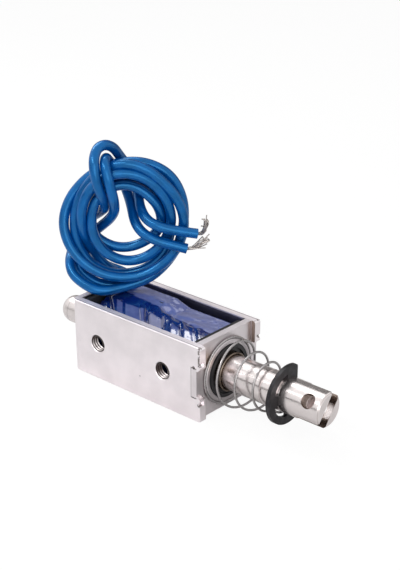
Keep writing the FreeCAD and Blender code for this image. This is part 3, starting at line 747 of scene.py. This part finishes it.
class SOLENOID_OT_film(bpy.types.Operator):
    """Wraps the winding in creased blue film that slopes down and folds along the near edge"""
    bl_idname = "solenoid.film"
    bl_label = "Wrap the winding"

    def execute(self, context):
        shape = context.scene.solenoid_film
        x0, x1 = (FILM_LOW.x - BACK) / MM, (FILM_HIGH.x - BACK) / MM
        half = (FILM_HIGH.y - FILM_LOW.y) / 2 / MM
        low, high = FILM_LOW.z / MM, FILM_HIGH.z / MM
        points, faces = [], []
        for i in range(FILM_COLUMNS + 1):
            x = x0 + (x1 - x0) * i / FILM_COLUMNS
            sunk = SINK * min(max((x - SINK_START) / SINK_RUN, 0.0), 1.0)
            outline = self.section(half, low, high - FILM_TOP_GAP - sunk, SINK_LIFT * sunk)
            for j in range(FILM_ROWS):
                y, z, ny, nz, near, crown = self.walk(outline, j / FILM_ROWS)
                out = self.relief(shape, x, y, z, near, crown)
                back = HANG_BACK * near * max(0.0, 1 - (x - x0) / HANG_RUN)
                lifted = min(z + nz * out, high - FILM_CEILING_GAP)
                points.append(at(x - back, *self.clear(y + ny * out, lifted)))
        for a in range(0, FILM_COLUMNS * FILM_ROWS, FILM_ROWS):
            b = a + FILM_ROWS
            for j in range(FILM_ROWS):
                n = (j + 1) % FILM_ROWS
                faces.append((a + j, a + n, b + n, b + j))
        data = mesh_from("film_wrap", points, faces)
        piece = new_piece("film_wrap", data, wrap_film(context.scene.solenoid_finish), "frame", "film", "tape_wrap")
        thick = piece.modifiers.new("film_thickness", "SOLIDIFY")
        thick.thickness = FILM_THICKNESS * MM
        thick.offset = -1
        return {"FINISHED"}

    def relief(self, shape, x, y, z, near, crown):
        """Height of folds, drape, ripples, creases and dimple over the film's plain section."""
        place = x + FOLD_SKEW * (y + FOLD_PIVOT) + FOLD_SWAY * math.sin(y * 1.7 + x * 0.4)
        fold = sum(along(FILM_FOLDS, place + aside) for aside in FOLD_BLUR) / len(FOLD_BLUR) * near
        drape = noise.noise(Vector((x * 0.22, y * 0.5, z * 0.5))) * DRAPE
        ripple = noise.noise(Vector((x * 0.9, y * 1.3, 4.0))) * shape.ripple / MM
        dimple = math.hypot((x - DIMPLE_PLACE[0]) / DIMPLE_REACH[0], (y - DIMPLE_PLACE[1]) / DIMPLE_REACH[1])
        out = fold * shape.fold_depth / MM + (drape - DRAPE / 2) * (near + crown) + ripple
        out += crease_height(x, y) * crown - DIMPLE * math.exp(-dimple * dimple) * (0.4 + crown)
        return min(out, 0.02 + 0.5 * near)

    def section(self, half, low, top, lift):
        """Corners of the film's section: across, up, share of the near folds and share of the flat crown."""
        return [
            (-half + FILM_CORNER, low, 0, 0), (half - FILM_CORNER, low, 0, 0), (half, low + FILM_CORNER, 0, 0),
            (half, top - 3.2, 0, 0), (half - 0.15, top - 1.3, 0, 0), (half - 0.75, top - 0.15, 0, 0.2),
            (half - 1.0, top, 0, 0.6), (2.4, top + 0.02, 0, 1), (0.6, top - 0.05, 0, 1),
            (-0.6, top - 0.4 + lift, 0.3, 0.3), (-1.5, top - 0.7 + lift, 1, 0), (-3.6, top - 1.75 + lift, 1, 0),
            (-half + 0.75, top - 2.5 + lift, 1, 0), (-half, top - 3.7 + lift, 0, 0), (-half, low + FILM_CORNER, 0, 0),
        ]

    def clear(self, y, z, gap=0.12):
        """The place itself, or where the film clings just over the winding's near upper corner."""
        wide, tall = (WINDING_HIGH.y - WINDING_LOW.y) / 2 / MM, WINDING_HIGH.z / MM
        aside, above = -y - (wide - WINDING_CORNER), z - (tall - WINDING_CORNER)
        if y > 0 or above < 0:
            return y, z
        if aside < 0:
            return y, max(z, tall + gap)
        push = max(1.0, (WINDING_CORNER + gap) / max(math.hypot(aside, above), 0.1)) - 1
        return y - aside * push, z + above * push

    def walk(self, outline, share):
        """Point, outward direction and weights at a share of the way round the outline."""
        closed = outline + outline[:1]
        runs = [math.hypot(b[0] - a[0], b[1] - a[1]) for a, b in zip(closed, closed[1:])]
        left = share * sum(runs)
        for a, b, run in zip(closed, closed[1:], runs):
            if left <= run:
                t = left / run
                values = [a[k] + (b[k] - a[k]) * t for k in range(4)]
                dy, dz = (b[0] - a[0]) / run, (b[1] - a[1]) / run
                return values[0], values[1], dz, -dy, values[2], values[3]
            left -= run
        return closed[0][0], closed[0][1], 0, -1, 0, 0


class SOLENOID_OT_spring(bpy.types.Operator):
    """Winds the conical spring between the front plate and the clip"""
    bl_idname = "solenoid.spring"
    bl_label = "Wind the spring"

    def execute(self, context):
        wound = context.scene.solenoid_spring
        radius = wound.wire / 2
        seat, end = SPRING_LOW.x + radius, SPRING_HIGH.x - radius
        first, last = -wound.dead_turns, wound.rise_turns + wound.closed_turns
        steps = int((last - first) * SPRING_STEPS)
        line = []
        for i in range(steps + 1):
            turn = first + (last - first) * i / steps
            risen = min(max(turn / wound.rise_turns, 0), 1)
            cone = min(max((turn - SPRING_CONE_START) / SPRING_CONE_TURNS, 0), 1)
            angle = math.pi + 2 * math.pi * turn
            r = (SPRING_WIDE + (SPRING_NARROW - SPRING_WIDE) * cone) * MM
            slack = math.sin(math.pi * risen)
            x = seat + (end - seat) * self.eased(risen) + wound.lean * slack * (1 + math.cos(angle))
            z = r * math.sin(angle) - wound.sag * slack ** 2
            line.append(Vector((x, AXIS_Y + r * math.cos(angle), z)))
        steel = small_metal("spring_steel", (0.42, 0.40, 0.40), 0.28, 4.0, 0.002)
        piece = new_piece("cone_spring", tube_mesh("cone_spring", line, radius), steel, "frame", "spring_steel",
                          "return_spring")
        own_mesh(piece)
        return {"FINISHED"}

    def eased(self, share):
        """Share of the rise at a share of the turns, with a soft start and end."""
        curve = 2 * SPRING_RAMP * (1 - SPRING_RAMP)
        if share < SPRING_RAMP:
            return share ** 2 / curve
        if share > 1 - SPRING_RAMP:
            return 1 - (1 - share) ** 2 / curve
        return (share - SPRING_RAMP / 2) / (1 - SPRING_RAMP)


class SOLENOID_OT_leads(bpy.types.Operator):
    """Lays the two insulated leads: up from the winding, three turns each, round the hank and out"""
    bl_idname = "solenoid.leads"
    bl_label = "Coil the leads"

    def execute(self, context):
        size = context.scene.solenoid_lead
        blue = lead_insulation(context.scene.solenoid_finish)
        tinned = small_metal("tinned_strand", (0.52, 0.48, 0.45), 0.3, 6.0, 0.002)
        leads = (
            ("a", SLEEVE_A_LOW, SLEEVE_A_HIGH, RISE_A, TURNS_A, BACK_ROUND_A, TAIL_A, STRANDS_A),
            ("b", SLEEVE_B_LOW, SLEEVE_B_HIGH, RISE_B, TURNS_B, BACK_ROUND_B, TAIL_B, STRANDS_B),
        )
        for label, low, high, rise, turns, behind, tail, strands in leads:
            y, z = (low.y + high.y) / 2, (low.z + high.z) / 2
            foot = BACK + RISER_FOOT * MM
            route = [Vector((BACK + LEAD_START * MM, y, z)), Vector((BACK + LEAD_UNDER_SLEEVE * MM, y, z)),
                     Vector((foot, y + RISER_SWAY * MM, z)), Vector((foot, y + RISER_LEAN * MM, RISER_TOP * MM))]
            route += [hank_point(*p) for p in rise]
            route += self.turns(turns, size.points_per_turn)
            route += [hank_point(*p) for p in behind + tail]
            data = spline_curve("lead_" + label, [route], size.radius)
            replaced = ["lead_riser_" + label, "lead_tail_" + label] + (["lead_hank"] if label == "a" else [])
            lead = new_piece("lead_" + label, data, blue, "frame", "lead_insulation", *replaced)
            ends = self.bare_end(label, strands, size, tinned)
            self.length(route)
        return {"FINISHED"}

    def turns(self, stops, per_turn):
        """Route points round the hank, from the left and clockwise as it is seen, smooth through the stops."""
        reach = 1 / math.cos(math.pi / per_turn)
        route = []
        for i in range((len(stops) - 1) * per_turn // TURN_STOPS + 1):
            place = i * TURN_STOPS / per_turn
            index = min(int(place), len(stops) - 2)
            t = place - index
            around = (stops[min(max(index + k, 0), len(stops) - 1)] for k in (-1, 0, 1, 2))
            radius, depth = (
                0.5 * (2 * b + (c - a) * t + (2 * a - 5 * b + 4 * c - d) * t ** 2 + (3 * b - a - 3 * c + d) * t ** 3)
                for a, b, c, d in zip(*around))
            angle = math.pi / 2 + place * 2 * math.pi / TURN_STOPS
            route.append(hank_point(HANK_CENTRE[0] - radius * reach * math.sin(angle),
                                    HANK_CENTRE[1] - radius * reach * HANK_STRETCH * math.cos(angle), depth))
        return route

    def length(self, route, pieces=8):
        """Length of the smooth line that the route's points guide."""
        middle = [(a + b) / 2 for a, b in zip(route[1:-1], route[2:-1])]
        stops = [route[0]] + middle + [route[-1]]
        total = 0
        for a, control, b in zip(stops, route[1:-1], stops[1:]):
            last = a
            for k in range(1, pieces + 1):
                t = k / pieces
                point = a * (1 - t) ** 2 + control * 2 * t * (1 - t) + b * t ** 2
                total += (point - last).length
                last = point
        return total

    def bare_end(self, label, strands, size, metal):
        """Loose tinned strands at the lead's cut end, which fan out and curl round their common route."""
        spine = [hank_point(*p) for p in strands]
        ahead = (spine[1] - spine[0]).normalized()
        side = ahead.cross(Vector((0, 0, 1))).normalized()
        rise = side.cross(ahead)
        routes = []
        for k in range(size.strands):
            turn = STRAND_TURN * k
            # Uneven, but the same on every run
            spread = 0.25 + 0.75 * ((k * 0.37) % 1.0)
            reach = 0.75 + 0.4 * ((k * 0.77) % 1.0)
            off_axis = (side * math.cos(turn) + rise * math.sin(turn)) * STRAND_OFFSET * MM
            route = [spine[0] - ahead * STRAND_HOLD * MM + off_axis]
            for index, place in enumerate(spine):
                grown = index / (len(spine) - 1)
                angle = turn + STRAND_TWIST * grown * (1 if k % 2 else -1)
                fanned = STRAND_OFFSET + spread * size.fan * grown ** 1.3
                away = (side * math.cos(angle) + rise * math.sin(angle)) * fanned * MM
                route.append(spine[0] + (place - spine[0]) * (1 + (reach - 1) * grown) + away)
            if k % STRANDS_PER_CURL == 0:
                curl = side * math.cos(turn) * 0.5 - ahead * 0.6 + rise * 0.3
                route.append(route[-1] + curl * MM)
            routes.append(route)
        data = spline_curve("strands_" + label, routes, size.strand_radius, 2, 5)
        return new_piece("strands_" + label, data, metal, "frame", "tinned_copper", "conductor_" + label)


class SOLENOID_OT_stage(bpy.types.Operator):
    """Sets the pale floor, the soft lights, the backdrop and the camera"""
    bl_idname = "solenoid.stage"
    bl_label = "Set the stage"

    def execute(self, context):
        look = context.scene.solenoid_stage
        self.floor(look)
        self.backdrop(look)
        for name, left, right, low, high, colour in CARDS:
            self.card(name, [(*left, low), (*right, low), (*right, high), (*left, high)], colour)
        for name, place, aim, sides, share in LAMPS:
            self.light(name, at(*place), at(*aim), sides, look.key_power * share)
        self.camera(context)
        context.scene.view_settings.view_transform = "Standard"
        return {"FINISHED"}

    def sheet(self, name, corners, material):
        data = mesh_from(name, corners, [(0, 1, 2, 3)], False)
        data.materials.append(material)
        placed(name, data)

    def floor(self, look):
        """Matt floor that keeps the object's shadow and glows to white for the camera."""
        f = Finish("floor_paper", base_color=(*look.floor_colour, 1), roughness=0.9)
        seen = f.node("ShaderNodeLightPath") * FLOOR_GLOW_SHARE
        glow = f.node("ShaderNodeEmission", None, {"Strength": FLOOR_GLOW})
        both = f.node("ShaderNodeMixShader", None, {0: seen, 1: Wire(f, f.shader.outputs[0]), 2: glow})
        f.join(both, f.tree.nodes["Material Output"].inputs[0])
        r, z = FLOOR_REACH, YOKE_LOW.z
        self.sheet("floor", [(-r, -r, z), (r, -r, z), (r, r, z), (-r, r, z)], f.material)

    def card(self, name, corners, colour):
        """Card that only the bright metal shows: the camera looks through it."""
        f = Finish(name, base_color=colour, roughness=1.0)
        self.sheet(name, corners, f.feed(alpha=1.0 - f.node("ShaderNodeLightPath")).material)

    def backdrop(self, look):
        """White for the camera and in the metal's reflections, dimmer as light on the object."""
        sky = Backdrop("studio")
        camera_ray = sky.node("ShaderNodeLightPath", output="Is Camera Ray")
        white = camera_ray.maths("MAXIMUM", camera_ray, camera_ray.beside("Is Glossy Ray"))
        level = sky.node("ShaderNodeMapRange", None, {"Value": white, "To Min": look.fill_level, "To Max": 1.0})
        sky.feed(color=(1, 1, 1, 1), strength=level)

    def light(self, name, place, aim, sides, power):
        data = bpy.data.lights.new(name, "AREA")
        data.shape = "RECTANGLE"
        data.size, data.size_y = sides
        data.energy = power
        lamp = placed(name, data)
        lamp.location = place
        lamp.rotation_mode = "QUATERNION"
        lamp.rotation_quaternion = (aim - place).to_track_quat("-Z", "Y")

    def camera(self, context):
        """Camera of the photograph, from its turn, height, roll, distance and lens."""
        turn, height, roll = CAMERA_TURN, CAMERA_HEIGHT, CAMERA_ROLL
        back = Vector((math.sin(turn) * math.cos(height), -math.cos(turn) * math.cos(height), math.sin(height)))
        right = Vector((math.cos(turn), math.sin(turn), 0))
        up = back.cross(right)
        data = bpy.data.cameras.new("camera")
        data.sensor_width = SENSOR
        data.lens = FOCUS / PHOTO_TALL * SENSOR
        data.shift_x = (PHOTO_WIDE / 2 - CENTRE_RIGHT) / PHOTO_TALL
        data.shift_y = (CENTRE_DOWN - PHOTO_TALL / 2) / PHOTO_TALL
        data.clip_start = 0.01
        matrix = Matrix((right * math.cos(roll) + up * math.sin(roll), up * math.cos(roll) - right * math.sin(roll),
                         back)).transposed().to_4x4()
        matrix.translation = at(*CAMERA_AIM) + back * CAMERA_DISTANCE * MM
        camera = placed("camera", data)
        camera.matrix_world = matrix
        context.scene.camera = camera


class SOLENOID_PT_panel(bpy.types.Panel):
    """Lists the builders and their sizes"""
    bl_idname = "SOLENOID_PT_panel"
    bl_label = "Solenoid"
    bl_space_type = "VIEW_3D"
    bl_region_type = "UI"
    bl_category = "Solenoid"

    def draw(self, context):
        for name in SETTINGS:
            group = getattr(context.scene, "solenoid_" + name)
            box = self.layout.box()
            for key in group.__annotations__:
                box.prop(group, key)
        for step in STEPS:
            self.layout.operator(step.bl_idname)


SETTINGS = {
    "finish": FinishSettings, "lead": LeadSettings, "film": FilmSettings, "spring": SpringSettings,
    "thread": ThreadSettings, "stage": StageSettings,
}
STEPS = (SOLENOID_OT_stage, SOLENOID_OT_leads, SOLENOID_OT_metalwork, SOLENOID_OT_insulators, SOLENOID_OT_threads,
         SOLENOID_OT_film, SOLENOID_OT_spring)


def register():
    for name, group in SETTINGS.items():
        bpy.utils.register_class(group)
        setattr(bpy.types.Scene, "solenoid_" + name, PointerProperty(type=group))
    for kind in STEPS + (SOLENOID_PT_panel,):
        bpy.utils.register_class(kind)


def unregister():
    for kind in reversed(STEPS + (SOLENOID_PT_panel,)):
        bpy.utils.unregister_class(kind)
    for name, group in SETTINGS.items():
        delattr(bpy.types.Scene, "solenoid_" + name)
        bpy.utils.unregister_class(group)


def main():
    register()
    bpy.ops.solenoid.stage()
    bpy.ops.solenoid.leads()
    bpy.ops.solenoid.metalwork()
    bpy.ops.solenoid.insulators()
    bpy.ops.solenoid.threads()
    bpy.ops.solenoid.film()
    bpy.ops.solenoid.spring()


if __name__ == "__main__":
    main()
